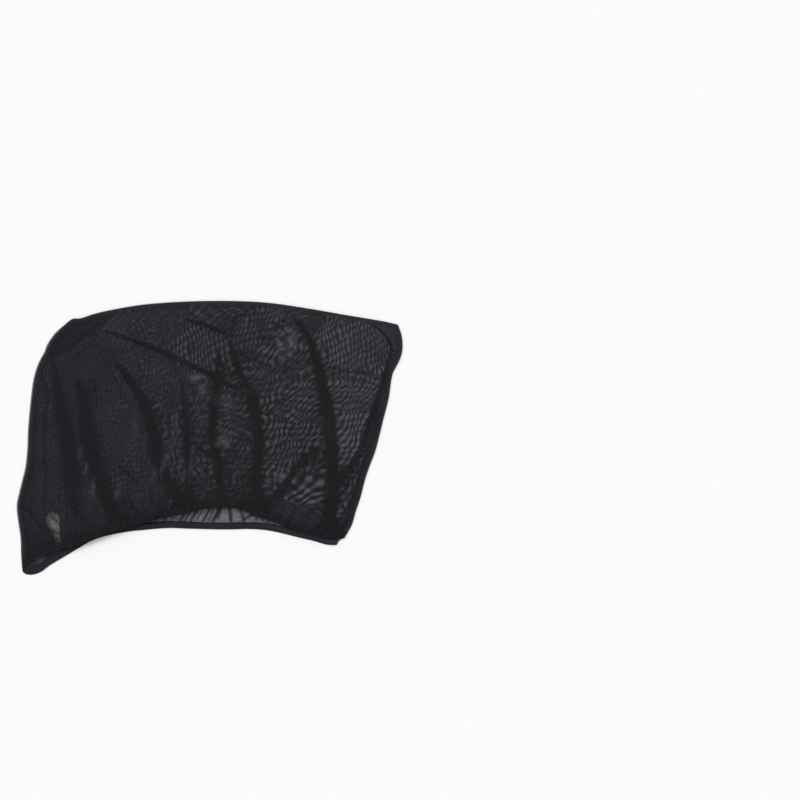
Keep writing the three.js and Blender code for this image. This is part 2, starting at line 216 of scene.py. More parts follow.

# Where the two nets' threads beat against each other, in pixels. The turn is the direction across the lines,
# in degrees, and None means rings round the centre. haze is the light given back between the lines
# The beat swings the light let through the nets, and lightens their colour along its crests as painted light
MOIRES = [
    Moire((355, 345), (42, 32), -4, 3.9, 2.6, 0.74, 0.055),
    Moire((360, 395), (34, 24), 30, 3.9, 3.6, 0.76, 0.055),
    Moire((352, 455), (30, 58), 18, 3.9, 2.2, 1.35, 0.045),
    Moire((307, 320), (20, 14), None, 3.6, 1.2, 0.40, 0.020),
    Moire((284, 346), (26, 26), 38, 5.6, 6.0, 0.66, 0.0),
    Moire((258, 328), (26, 20), 6, 4.0, 2.6, 0.48, 0.005),
    Moire((266, 385), (28, 24), 15, 4.6, 5.6, 0.52, 0.005),
    Moire((300, 398), (28, 34), 42, 4.2, 4.4, 0.68, 0.012),
    Moire((292, 452), (36, 40), 20, 4.0, 3.6, 0.66, 0.0),
    Moire((309, 486), (22, 26), 50, 5.8, 2.8, 1.10, 0.015),
    Moire((302, 514), (24, 12), 70, 3.2, 2.0, 0.30, 0.010),
    Moire((198, 350), (34, 28), -8, 4.0, 1.8, 0.54, 0.0),
    Moire((203, 398), (16, 26), 20, 5.4, 7.0, 0.34, 0.0),
    Moire((236, 412), (24, 36), 40, 4.4, 6.5, 0.44, 0.0),
    Moire((238, 468), (24, 34), 20, 4.0, 4.0, 0.36, 0.0),
    Moire((205, 460), (16, 40), 8, 4.4, 5.6, 0.38, 0.0),
    Moire((156, 388), (40, 36), 0, 3.6, 4.4, 0.28, 0.0),
    Moire((146, 328), (46, 18), -30, 3.8, 4.4, 0.30, 0.0),
    Moire((175, 446), (20, 46), 4, 4.2, 3.6, 0.32, 0.0),
    Moire((222, 318), (32, 14), 60, 5.0, 4.0, 0.36, 0.0),
    Moire((120, 450), (36, 70), 8, 3.2, 3.0, 0.2, 0.0),
    Moire((70, 430), (30, 90), 0, 3.2, 3.0, 0.14, 0.0),
]

# The second, weaker set of lines in each region: how far it is turned, in degrees, and how much wider apart
SECOND_TURN = 68
SECOND_SPACING = 1.7

# Soft light patches where the front net lies open, which let more light through and get painted light in
# their colour: centre and reach in pixels, and strength
GLEAMS = [
    ((292, 342), (4, 12), 0.35), ((281, 352), (4, 9), 0.3), ((276, 334), (10, 2), 0.3),
    ((198, 378), (5, 3), 0.7), ((203, 390), (3, 5), 0.5), ((207, 421), (4, 7), 0.25),
    ((229, 404), (5, 8), 0.2), ((227, 441), (4, 7), 0.3), ((321, 446), (4, 5), 0.3),
    ((283, 476), (4, 5), 0.45), ((246, 391), (5, 6), 0.3), ((81, 453), (1.1, 8), 0.26),
    ((86, 470), (1.2, 7), 0.28), ((92, 490), (1.8, 9), 0.26), ((123, 491), (2.6, 5), 0.26),
    ((168, 501), (1.6, 6), 0.26), ((184, 462), (1.6, 12), 0.28), ((172, 462), (1.4, 14), 0.24),
    ((135, 428), (2, 14), 0.12), ((152, 476), (1.4, 8), 0.2), ((176, 432), (1.1, 18), 0.2),
    ((196, 470), (1.2, 14), 0.22),
]

# Painted shade over the front hem, where the cloth bunches: centre and reach in pixels, and strength
HEM_SHADE_SPOTS = [
    ((183, 500), (14, 14), 0.6), ((205, 500), (12, 11), 0.5), ((222, 495), (11, 18), 0.6),
    ((247, 500), (13, 14), 0.6), ((262, 508), (16, 9), 0.45), ((120, 500), (16, 26), 0.35),
    ((152, 503), (16, 14), 0.35), ((96, 515), (18, 20), 0.3), ((330, 520), (14, 20), 0.45),
    ((280, 515), (16, 10), 0.35), ((300, 526), (20, 8), 0.4), ((338, 531), (12, 10), 0.4),
    ((56, 374), (20, 22), 0.35), ((44, 410), (14, 50), 0.2), ((72, 395), (26, 34), 0.22),
    ((66, 470), (18, 50), 0.22), ((108, 480), (14, 30), 0.25), ((30, 540), (22, 26), 0.3),
    ((78, 525), (16, 14), 0.3), ((345, 505), (8, 24), 0.3),
]

# The painted shade of the folds and creases has a green tint between these places across, down to these
# places down
GREEN_STARTS, GREEN_ENDS, GREEN_FADES = (150, 210), (340, 352), (480, 505)

# The smooth band inside the right side starts right of and below this place
SIDE_BAND_START = (336, 372)
SIDE_BAND_EDGE = (0.011, 0.020)

# The open mouth at the lower left corner, darkened with painted shade, and the spot of painted light in it,
# as centre and reach
MOUTH, MOUTH_REACH = (35, 563), (34, 18)
MOUTH_LIGHT, MOUTH_LIGHT_REACH = (40, 560), (6, 3)

# Where the rear net gets painted shade behind the keyhole, more of it further down: across, half the width,
# and down
KEYHOLE_MIDDLE, KEYHOLE_HALF_WIDTH, KEYHOLE_LOW = 58, 12, (520, 545)

# The foot of the rear net's right side
REAR_RIGHT_FOOT = [(339.2, 541.5), (344, 537.5)]

# Two corners of the front net that lie smooth, as outlines in pixels; the ear gets painted light and the top
# corner painted shade
EAR = [
    (350, 314), (362, 319), (378, 328.5), (388, 339), (391.5, 350), (388, 363), (384, 380), (400, 372),
    (410, 345), (404, 320),
]
TOP_CORNER = [
    (44, 345), (54, 358), (62, 355), (75, 345), (85, 337), (97, 328), (114, 317), (124, 300), (70, 310),
]

# Painted shade of single creases of the rear net where it shows between the hems and in the keyhole: foot,
# head, width in mm and darkness
REAR_CREASE_SHADES = [
    ((114, 533), (115, 528), 1.0, 0.9), ((121, 531), (122, 526), 1.2, 0.9),
    ((128, 530), (130, 524), 1.2, 0.9), ((136, 528), (137, 522), 1.2, 0.8),
    ((144, 527), (142, 519), 1.8, 1.0), ((150, 526), (154, 517), 1.0, 0.6),
    ((156, 526), (158, 516), 1.4, 0.8), ((164, 525), (166, 515), 1.6, 0.9),
    ((171, 524), (174, 513), 1.2, 0.7), ((179, 523), (186, 512), 2.0, 1.0),
    ((184, 522), (191, 511), 1.6, 0.9), ((190, 522), (199, 508), 2.0, 1.0),
    ((196, 521), (201, 513), 1.2, 0.8), ((203, 521), (212, 506), 2.0, 1.0),
    ((208, 521), (215, 507), 1.4, 0.9), ((213, 521), (221, 505), 2.6, 1.0),
    ((217, 517), (223, 503), 3.6, 1.0), ((231, 521), (229, 505), 3.0, 1.0),
    ((244, 521), (239, 505), 2.4, 1.0), ((243, 520), (252, 515), 2.2, 1.0),
    ((252, 515), (258, 517), 2.0, 1.0), ((256, 521), (257, 514), 1.4, 0.9),
    ((263, 522), (262, 516), 1.2, 0.9), ((268, 523), (266, 517), 1.2, 0.9),
    ((275, 524), (273, 519), 1.0, 0.8), ((281, 525), (279, 520), 1.0, 0.8),
    ((52, 517), (62, 526), 1.5, 1.0), ((52, 530), (63, 536), 1.8, 1.0), ((53, 538), (64, 541), 1.6, 0.9),
]

box_low, box_high = (np.array(corner, float) for corner in cad_box)


def spot(px):
    """Places on the floor, in metres, for places in the photograph."""
    px = np.asarray(px, float)
    x = box_low[0] + (px[..., 0] - NET_LEFT_PX) / (NET_RIGHT_PX - NET_LEFT_PX) * (box_high[0] - box_low[0])
    y = box_low[1] + (NET_BOTTOM_PX - px[..., 1]) / (NET_BOTTOM_PX - NET_TOP_PX) * (box_high[1] - box_low[1])
    return np.stack([x, y], axis=-1)


METRES_PER_PX = (box_high[0] - box_low[0]) / (NET_RIGHT_PX - NET_LEFT_PX)


def smooth_line(points, count, fine=24):
    """count + 1 points spaced evenly on a smooth curve through the given points."""
    p = np.asarray(points, float)
    ends = np.vstack([2 * p[0] - p[1], p, 2 * p[-1] - p[-2]])
    knots = np.concatenate([[0], np.cumsum(np.sqrt(np.linalg.norm(np.diff(ends, axis=0), axis=1)))])
    line = []
    for k in range(1, len(ends) - 2):
        t0, t1, t2, t3 = knots[k - 1 : k + 3]
        t = np.linspace(t1, t2, fine, endpoint=False)[:, None]
        a1 = (t1 - t) / (t1 - t0) * ends[k - 1] + (t - t0) / (t1 - t0) * ends[k]
        a2 = (t2 - t) / (t2 - t1) * ends[k] + (t - t1) / (t2 - t1) * ends[k + 1]
        a3 = (t3 - t) / (t3 - t2) * ends[k + 1] + (t - t2) / (t3 - t2) * ends[k + 2]
        b1 = (t2 - t) / (t2 - t0) * a1 + (t - t0) / (t2 - t0) * a2
        b2 = (t3 - t) / (t3 - t1) * a2 + (t - t1) / (t3 - t1) * a3
        line.append((t2 - t) / (t2 - t1) * b1 + (t - t1) / (t2 - t1) * b2)
    line = np.vstack(line + [p[-1:]])
    along = np.concatenate([[0], np.cumsum(np.linalg.norm(np.diff(line, axis=0), axis=1))])
    at = np.linspace(0, along[-1], count + 1)
    return np.stack([np.interp(at, along, line[:, k]) for k in range(line.shape[1])], axis=1)


def ramp(x, low, high):
    t = np.clip((x - low) / (high - low), 0, 1)
    return t * t * (3 - 2 * t)


def nearest_on(points, line):
    """For each point: its signed distance from the line, the share along it, and the line's left normal."""
    best = np.full(len(points), np.inf)
    side = np.zeros(len(points))
    share = np.zeros(len(points))
    normal = np.zeros((len(points), 2))
    for k in range(len(line) - 1):
        along = line[k + 1] - line[k]
        length = np.linalg.norm(along)
        along = along / length
        left = np.array([-along[1], along[0]])
        rel = points - line[k]
        t = np.clip(rel @ along, 0, length)
        gap = np.linalg.norm(rel - t[:, None] * along, axis=1)
        near = gap < best
        best[near] = gap[near]
        side[near] = np.sign(rel[near] @ left)
        share[near] = (k + t[near] / length) / (len(line) - 1)
        normal[near] = left
    return best * side, share, normal


def close_to(flat, line, margin):
    """The places of the points that lie within a margin of a line's reach."""
    low, high = line.min(axis=0) - margin, line.max(axis=0) + margin
    return np.flatnonzero(np.all((flat > low) & (flat < high), axis=1))


def noise(points, scale, seed):
    """Smooth noise from -1 to 1 with features of about the given scale."""
    lattice = np.random.default_rng(seed).uniform(-1, 1, (257, 257))
    q = points / scale + 100.37
    cell = np.floor(q).astype(int)
    f = q - cell
    f = f * f * f * (f * (6 * f - 15) + 10)
    i, j = cell[:, 0] % 256, cell[:, 1] % 256
    low = lattice[i, j] * (1 - f[:, 0]) + lattice[i + 1, j] * f[:, 0]
    high = lattice[i, j + 1] * (1 - f[:, 0]) + lattice[i + 1, j + 1] * f[:, 0]
    return low * (1 - f[:, 1]) + high * f[:, 1]


def patch(hem, left, right, top, columns, rows):
    """A grid of places over a panel, from its free lower edge up to the top seam."""
    low = smooth_line(spot(hem), columns)
    high = smooth_line(spot(top), columns)
    west = smooth_line(spot([hem[0]] + left + [top[0]]), rows)
    east = smooth_line(spot([hem[-1]] + right + [top[-1]]), rows)
    u = np.linspace(0, 1, columns + 1)[None, :, None]
    w = np.linspace(0, 1, rows + 1)[:, None, None]
    sides = (1 - u) * west[:, None] + u * east[:, None]
    ends = (1 - w) * low[None] + w * high[None]
    corners = (1 - u) * ((1 - w) * low[0] + w * high[0]) + u * ((1 - w) * low[-1] + w * high[-1])
    return sides + ends - corners


# The front net's left side lies a little inside the rear one's, which shows there as a single layer
FRONT_LEFT_SIDE = [(x + 1.5, y + 0.6) for x, y in LEFT_SIDE]
FRONT_TOP_EDGE = [(61.6, 328.2)] + TOP_EDGE[1:]
sewn_line = np.vstack([
    smooth_line(spot([FRONT_HEM_EDGE[0]] + FRONT_LEFT_SIDE + [FRONT_TOP_EDGE[0]]), 90),
    smooth_line(spot(FRONT_TOP_EDGE), 110)[1:],
    smooth_line(spot([FRONT_HEM_EDGE[-1]] + RIGHT_SIDE + [TOP_EDGE[-1]]), 80)[::-1][1:],
])
front_hem_line = smooth_line(spot(FRONT_HEM_EDGE), HEM_STATIONS)
rear_hem_line = smooth_line(spot(REAR_HEM_EDGE), HEM_STATIONS)


def rest_level(flat):
    """The level of the loose front net over each place, and how far that place is from the seam."""
    gap = np.abs(nearest_on(flat, sewn_line)[0])
    return FRONT_EDGE_LEVEL + PUFF_HEIGHT * (1 - np.exp(-((gap / PUFF_REACH) ** 1.5))), gap


def mesh_object(name, points, faces, material, smooth=True):
    mesh = bpy.data.meshes.new(name)
    mesh.from_pydata([tuple(p) for p in points], [], [tuple(f) for f in faces])
    mesh.update()
    if smooth:
        mesh.polygons.foreach_set("use_smooth", [True] * len(mesh.polygons))
    obj = bpy.data.objects.new(name, mesh)
    bpy.context.scene.collection.objects.link(obj)
    mesh.materials.append(material)
    return obj


def paint(obj, name, values):
    attribute = obj.data.attributes.new(name, "FLOAT", "POINT")
    attribute.data.foreach_set("value", np.asarray(values, np.float32))


def grid_faces(rows, columns):
    a = (np.arange(rows)[:, None] * (columns + 1) + np.arange(columns)[None, :]).ravel()
    return np.stack([a, a + 1, a + columns + 2, a + columns + 1], axis=1)


def inside(points, outline):
    """True for the points inside a closed outline."""
    odd = np.zeros(len(points), bool)
    x, y = points[:, 0], points[:, 1]
    for (x0, y0), (x1, y1) in zip(outline, np.roll(outline, -1, axis=0)):
        crosses = (y0 > y) != (y1 > y)
        if y1 != y0:
            odd ^= crosses & (x < (x1 - x0) * (y - y0) / (y1 - y0) + x0)
    return odd


class Nodes:
    """Adds shader nodes to a new material."""

    def __init__(self, name):
        self.material = bpy.data.materials.new(name)
        self.material.use_nodes = True
        self.tree = self.material.node_tree
        self.shader = self.tree.nodes["Principled BSDF"]

    def put(self, socket, value):
        if isinstance(value, bpy.types.NodeSocket):
            self.tree.links.new(value, socket)
        else:
            socket.default_value = value

    def add(self, kind, inputs=(), **settings):
        node = self.tree.nodes.new(kind)
        for key, value in settings.items():
            setattr(node, key, value)
        for key, value in dict(inputs).items():
            self.put(node.inputs[key], value)
        return node

    def math(self, operation, a, b=0.0, c=0.0, clamp=False):
        node = self.add("ShaderNodeMath", operation=operation, use_clamp=clamp)
        for socket, value in zip(node.inputs, (a, b, c)):
            self.put(socket, value)
        return node.outputs[0]

    def times(self, a, b):
        return self.math("MULTIPLY", a, b)

    def plus(self, a, b, clamp=False):
        return self.math("ADD", a, b, clamp=clamp)

    def attribute(self, name):
        return self.add("ShaderNodeAttribute", attribute_name=name).outputs["Fac"]

    def mix(self, factor, a, b):
        node = self.add("ShaderNodeMix", data_type="RGBA")
        self.put(node.inputs[0], factor)
        self.put(node.inputs[6], a)
        self.put(node.inputs[7], b)
        return node.outputs[2]

    def coordinates(self):
        return self.add("ShaderNodeTexCoord").outputs["Object"]

    def noise(self, vector, scale, detail=2.0, roughness=0.5):
        inputs = {"Vector": vector, "Scale": scale, "Detail": detail, "Roughness": roughness}
        return self.add("ShaderNodeTexNoise", inputs).outputs["Fac"]

    def bump(self, height, distance, strength=1.0):
        node = self.add("ShaderNodeBump", {"Height": height, "Distance": distance, "Strength": strength})
        return node.outputs["Normal"]


WEAVE_PITCH = 0.0013
NET_COLOUR = (0.0088, 0.0084, 0.0142, 1)
# The colour that painted shade gives the nets, plain and with a green tint
NET_SHADE_COLOUR = (0.0072, 0.0068, 0.0092, 1)
GREEN_NET_SHADE_COLOUR = (0.0080, 0.0102, 0.0058, 1)
# The colour of painted light on the nets and the elastic
LIT_COLOUR = (0.118, 0.127, 0.146, 1)
FRONT_ELASTIC = ((0.0080, 0.0078, 0.0108, 1), (0.0108, 0.0104, 0.0144, 1))
REAR_ELASTIC = ((0.0130, 0.0150, 0.0220, 1), (0.0190, 0.0220, 0.0310, 1))
# The painted shade in the elastic's creases
ELASTIC_CREASE_SHADE = (0.0050, 0.0050, 0.0065, 1)
SEAM_CLOTH_COLOUR = (0.014, 0.014, 0.019, 1)
THREAD_COLOUR = (0.006, 0.006, 0.007, 1)
FLOOR_COLOUR = (0.985, 0.985, 0.985, 1)

# The share of light that a net lets through, and what changes it
FRONT_OPENNESS, REAR_OPENNESS = 0.24, 0.36
FOLD_CLOSES = 0.85
FIRST_WAVE, SECOND_WAVE, WAVE_SWING = 0.72, 0.42, 0.24
CREST_POWER = 2.6
GLEAM_OPENS, GRAIN_SWING, WEAVE_SWING = 0.22, 0.7, 0.03
LEAST_CLEAR, MOST_CLEAR = 0.02, 0.8


def weave_height(nodes):
    """The net's threads: two slanting sets that cross."""
    axes = nodes.add("ShaderNodeSeparateXYZ", {"Vector": nodes.coordinates()})
    x, y = axes.outputs["X"], axes.outputs["Y"]
    turns = 2 * math.pi / WEAVE_PITCH
    rising = nodes.times(nodes.plus(x, nodes.times(y, 0.62)), turns)
    falling = nodes.times(nodes.math("SUBTRACT", x, nodes.times(y, 0.62)), turns)
    return nodes.times(nodes.math("SINE", rising), nodes.math("SINE", falling))


def net_material(name, openness):
    """Black stretch mesh that lets a share of the light straight through, less where it is folded, darkened
    by painted shade and lightened by painted light.
    """
    nodes = Nodes(name)
    shade = nodes.attribute("shade")
    gleam = nodes.attribute("gleam")
    strength = nodes.attribute("moire")
    first = nodes.times(nodes.math("SINE", nodes.attribute("moire_phase")), FIRST_WAVE)
    second = nodes.times(nodes.math("SINE", nodes.attribute("second_phase")), SECOND_WAVE)
    wave = nodes.plus(first, second)
    crest = nodes.math("POWER", nodes.math("MULTIPLY_ADD", wave, 0.5, 0.5, clamp=True), CREST_POWER)
    weave = weave_height(nodes)
    grain = nodes.math("SUBTRACT", nodes.noise(nodes.coordinates(), 400.0, 3.0, 0.6), 0.5)
    open_share = nodes.math("SUBTRACT", 1.0, nodes.times(shade, FOLD_CLOSES))
    swing = nodes.times(strength, nodes.times(wave, WAVE_SWING))
    grain_swing = nodes.times(nodes.times(grain, open_share), GRAIN_SWING)
    clear = nodes.times(open_share, openness)
    clear = nodes.plus(clear, swing)
    clear = nodes.plus(clear, nodes.times(gleam, GLEAM_OPENS))
    clear = nodes.plus(clear, grain_swing)
    clear = nodes.plus(clear, nodes.times(weave, WEAVE_SWING))
    clear = nodes.math("MINIMUM", nodes.math("MAXIMUM", clear, LEAST_CLEAR), MOST_CLEAR)
    alpha = nodes.math("SUBTRACT", 1.0, clear)
    # Painted light: the moiré's crests and the gleam lighten the colour
    lit = nodes.plus(nodes.times(strength, crest), gleam, clamp=True)
    # Painted shade darkens the colour, with a green tint where green is painted
    fold = nodes.mix(nodes.attribute("green"), NET_SHADE_COLOUR, GREEN_NET_SHADE_COLOUR)
    cloth = nodes.mix(nodes.math("MINIMUM", shade, 1.0), NET_COLOUR, fold)
    nodes.put(nodes.shader.inputs["Base Color"], nodes.mix(lit, cloth, LIT_COLOUR))
    nodes.put(nodes.shader.inputs["Alpha"], alpha)
    nodes.put(nodes.shader.inputs["Normal"], nodes.bump(weave, 0.0002, 0.5))
    nodes.shader.inputs["Roughness"].default_value = 0.75
    nodes.shader.inputs["Specular IOR Level"].default_value = 0.15
    nodes.shader.inputs["Sheen Weight"].default_value = 0.04
    nodes.shader.inputs["Sheen Roughness"].default_value = 0.4
    return nodes.material


def elastic_material(name, dull, bright):
    """Smooth woven elastic with a fine grain, with painted shade in its creases and painted light along its
    fold.
    """
    nodes = Nodes(name)
    grain = nodes.noise(nodes.coordinates(), 900.0, 2.0, 0.5)
    broad = nodes.noise(nodes.coordinates(), 45.0, 2.0, 0.5)
    cloth = nodes.mix(broad, dull, bright)
    crease = nodes.math("MINIMUM", nodes.attribute("shade"), 1.0)
    shaded_elastic = nodes.mix(crease, cloth, ELASTIC_CREASE_SHADE)
    nodes.put(nodes.shader.inputs["Base Color"], nodes.mix(nodes.attribute("gleam"), shaded_elastic, LIT_COLOUR))
    nodes.put(nodes.shader.inputs["Normal"], nodes.bump(grain, 0.0002, 0.6))
    nodes.shader.inputs["Roughness"].default_value = 0.8
    nodes.shader.inputs["Specular IOR Level"].default_value = 0.15
    return nodes.material


def thread_material(name, colour, bump_scale):
    """Dull twisted thread, or cloth sewn from it."""
    nodes = Nodes(name)
    twist = nodes.noise(nodes.coordinates(), bump_scale, 2.0, 0.5)
    lighter = tuple(1.6 * c for c in colour[:3]) + (1,)
    nodes.put(nodes.shader.inputs["Base Color"], nodes.mix(twist, colour, lighter))
    nodes.put(nodes.shader.inputs["Normal"], nodes.bump(twist, 0.0002, 0.5))
    nodes.shader.inputs["Roughness"].default_value = 0.75
    return nodes.material


def fold_moves(flat):
    """How the folds shift and lift the cloth, the painted shade and painted light they give it, and how they
    still it.
    """
    shift = np.zeros((len(flat), 2))
    lift = np.zeros(len(flat))
    dark = np.zeros(len(flat))
    light = np.zeros(len(flat))
    still = np.zeros(len(flat))
    for fold in FOLDS:
        line = smooth_line(spot(fold.route), 8 * len(fold.route))
        near = close_to(flat, line, FOLD_MARGIN)
        side, share, normal = nearest_on(flat[near], line)
        tail = 1.0 if fold.to_hem else ramp(1 - share, 0, FOLD_FADE)
        taper = ramp(share, 0, FOLD_START) * tail
        band = fold.band * MM * (0.35 + 0.65 * ramp(share, 0, 0.5)) * (0.4 + 0.6 * tail)
        reach = (LAP_REACH if fold.lapped else PINCH_REACH) * band
        q = side / reach
        lap = (LAP if fold.lapped else PINCH) * taper
        moved = side * (1 - lap * np.exp(-(q**2)))
        shift[near] += (moved - side)[:, None] * normal
        lift[near] += fold.rise * MM * taper * ramp(q, -0.6, 0.6) * (1 - ramp(q, 0.7, FOLD_END))
        here = np.abs(q) < FOLD_END
        seen = moved / band
        streaks = 1 - STREAK_DEPTH * (1 + noise(np.column_stack([8 * seen, 9 * share]), 1.6, 12))
        body = (1 - ramp(np.abs(seen), 1 - fold.soft, 1 + fold.soft)) * here
        still[near] = np.maximum(still[near], taper * body * min(1.0, 1.2 * fold.dark))
        edge = EDGE_SHADE * (1 - fold.soft) * np.exp(-(((seen + 0.85) / 0.2) ** 2)) * here
        ridge = fold.glint * np.exp(-((seen / 0.24) ** 2)) * here
        dark[near] = np.maximum(dark[near], taper * fold.dark * (body * streaks * (1 - ridge) + edge))
        light[near] = np.maximum(light[near], RIDGE_LIGHT * taper * ridge)
    return shift, lift, dark, light, still


def thin_creases(flat):
    """The shade of the thin creases."""
    dark = np.zeros(len(flat))
    for route, half_width in CREASES:
        line = smooth_line(spot(route), 6 * len(route))
        near = close_to(flat, line, CREASE_MARGIN)
        side, share, _ = nearest_on(flat[near], line)
        taper = ramp(share, 0, CREASE_FADE) * ramp(1 - share, 0, CREASE_FADE)
        dark[near] = np.maximum(dark[near], taper * np.exp(-((np.abs(side) / (1.15 * half_width * MM)) ** 3)))
    return dark


def gathers(u, from_hem, seed, count):
    """Uneven ripples that run up from an elastic hem and die out."""
    rng = np.random.default_rng(seed)
    total = np.zeros_like(u)
    for _ in range(count):
        waves = rng.uniform(22, 60)
        turn = rng.uniform(0, 2 * math.pi)
        reach = rng.uniform(0.02, 0.08)
        bend = rng.uniform(-0.3, 0.3)
        total += np.sin(2 * math.pi * waves * (u + bend * from_hem) + turn) * np.exp(-from_hem / reach)
    return total / math.sqrt(count)


def hem_crease_shade(u, from_hem):
    """Painted shade of thin creases that fan out of the front hem, at uneven places."""
    rng = np.random.default_rng(41)
    total = np.zeros_like(u)
    at = 0.03
    while at < 0.99:
        reach = rng.uniform(0.012, 0.045)
        lean = rng.uniform(-0.6, 0.6)
        width = rng.uniform(0.0011, 0.0022) / 0.66
        away = (u - at - lean * from_hem - rng.uniform(-6, 6) * from_hem**2) / width
        total = np.maximum(total, rng.uniform(0.5, 1.0) * np.exp(-(away**2) - (from_hem / reach) ** 2))
        at += rng.uniform(0.012, 0.042)
    return total


def pixels_of(flat):
    """Places in the photograph for places on the floor."""
    px = NET_LEFT_PX + (flat[:, 0] - box_low[0]) / METRES_PER_PX
    py = NET_BOTTOM_PX - (flat[:, 1] - box_low[1]) / METRES_PER_PX
    return np.stack([px, py], axis=1)


def moire_fields(flat):
    """The beat between the two nets: two phases, strength and haze, from the region nearest each point."""
    where = pixels_of(flat)
    best = np.full(len(flat), 9.0)
    second = np.full(len(flat), 9.0)
    phase = np.zeros(len(flat))
    cross_phase = np.zeros(len(flat))
    amount = np.zeros(len(flat))
    haze = np.zeros(len(flat))
    border = 0.12 * noise(where, 12, 31)
    jitter = 0.5 * noise(where, 2.4, 33)
    for seed, region in enumerate(MOIRES):
        away = where - region.centre
        apart = np.sum((away / region.reach) ** 4, axis=1) ** 0.25 + border * (-1) ** seed
        if region.turn is None:
            across = np.linalg.norm(away * (1.0, 1.25), axis=1)
        else:
            turn = math.radians(region.turn)
            across = away @ np.array([math.cos(turn), math.sin(turn)])
        broad = noise(where, 3.6 * region.spacing, 50 + seed)
        fine = noise(where, 1.35 * region.spacing, 80 + seed)
        beat = 2 * math.pi * (across + region.warp * (broad + 0.45 * fine)) / region.spacing + jitter
        cross_turn = math.radians((region.turn or 0) + SECOND_TURN)
        cross = away @ np.array([math.cos(cross_turn), math.sin(cross_turn)])
        cross_warp = region.warp * (noise(where, 5 * region.spacing, 110 + seed) + 0.6 * broad)
        cross_beat = 2 * math.pi * (cross + cross_warp) / (SECOND_SPACING * region.spacing) - jitter
        wins = apart < best
        second = np.where(wins, best, np.minimum(second, apart))
        phase = np.where(wins, beat, phase)
        cross_phase = np.where(wins, cross_beat, cross_phase)
        amount = np.where(wins, region.strength, amount)
        haze = np.where(wins, region.haze, haze)
        best = np.where(wins, apart, best)
    fade = (1 - ramp(best, 0.95, 1.3)) * ramp(second - best, 0.0, 0.08)
    dots = 0.9 + 0.4 * noise(where, 2.6, 7) + 0.45 * noise(where, 11, 6)
    inner = 1 - ramp(best, 0.85, 1.3)
    return phase, cross_phase, amount * fade * np.clip(dots, 0.1, 1.4), haze * inner


def hem_shadow(where):
    """The shade of the bunched cloth over the hem, where it lies in several layers."""
    total = np.zeros(len(where))
    for centre, reach, amount in HEM_SHADE_SPOTS:
        total = np.maximum(total, amount * np.exp(-np.sum(((where - centre) / reach) ** 2, axis=1)))
    return total


def soft_lights(where):
    """The light patches, which open the net and lighten its colour as painted light, broken up by the weave.
    """
    total = np.zeros(len(where))
    for centre, reach, amount in GLEAMS:
        wobble = 1 + 0.6 * noise(where, 5, 21)
        total = np.maximum(total, amount * np.exp(-np.sum(((where - centre) / reach) ** 2, axis=1) * wobble))
    return total * np.clip(0.85 + 0.7 * noise(where, 2.6, 22), 0, 1.5)


def keyhole_ring():
    """The keyhole's outline, as it is and closed."""
    outline = smooth_line(spot(KEYHOLE + KEYHOLE[:1]), 90)[:-1]
    return outline, np.vstack([outline, outline[:1]])


def hem_ripple(u, from_hem, from_seam):
    """The front net's gathers over its elastic, which die out towards the seam."""
    return (1 - np.exp(-from_seam / RIPPLE_HOLD)) * RIPPLE_HEIGHT * gathers(u, from_hem, *FRONT_GATHERS)


def front_looks(flat, where, u, from_seam, from_hem, ring, folds, thin):
    """What the front net's material reads at each place."""
    _, _, dark, glint, still = folds
    phase, cross_phase, strength, haze = moire_fields(flat)
    ear, top_corner = inside(where, np.array(EAR)), inside(where, np.array(TOP_CORNER))
    ripple = gathers(u, from_hem, *FRONT_GATHERS)
    near_hem = np.exp(-((from_hem / HEM_SHADE_REACH) ** 2))
    seam_line = 0.7 * np.exp(-(((from_seam - SEAM_WIDTH - MM) / SEAM_LINE_WIDTH) ** 2))
    hole = 0.7 * np.exp(-np.abs(nearest_on(flat, ring)[0]) / KEYHOLE_SHADE_REACH)
    # Painted shade of the folds, the creases, the seam's dark line, round the keyhole and over the hem, its
    # gathers and the top corner, varied at random by the noise
    shade = np.maximum.reduce([dark, 1.1 * thin, seam_line, hole, 0.8 * hem_crease_shade(u, from_hem)])
    broad_hem = np.exp(-from_hem / GATHER_SHADE_REACH)
    shade = shade + near_hem * 0.45 - 0.55 * ripple * broad_hem - 0.2 * noise(where, 30, 9)
    shade = shade + hem_shadow(where)
    shade = shade + 0.28 * top_corner
    inset = ramp(from_seam, 0.0, SEAM_WIDTH + 3 * MM)
    # Painted light of the light patches, the fold ridges, a strip along the seam, the moiré's haze and the
    # ear, with an uneven tone from the noise
    gleam = np.maximum(soft_lights(where), glint) + 0.16 * (1 - inset) + 0.02 * noise(where, 24, 10)
    gleam += (haze + 0.045 * ear) * (1 - still) * (1 - 0.8 * thin) * inset
    in_band = (where[:, 0] > SIDE_BAND_START[0]) & (where[:, 1] > SIDE_BAND_START[1])
    inner = np.where(in_band, ramp(from_seam, *SIDE_BAND_EDGE), inset)
    strength = strength * (1 - still) * (1 - 0.8 * thin) * (1 - near_hem) * inner
    strength[ear | top_corner] *= 0.12
    green = 0.75 * ramp(where[:, 0], *GREEN_STARTS) * (1 - ramp(where[:, 1], *GREEN_FADES))
    green = green * (1 - ramp(where[:, 0], *GREEN_ENDS))
    return {
        "green": green, "shade": np.clip(shade, 0, 1.15), "gleam": np.clip(gleam, 0, 1),
        "moire": strength, "moire_phase": phase, "second_phase": cross_phase,
    }


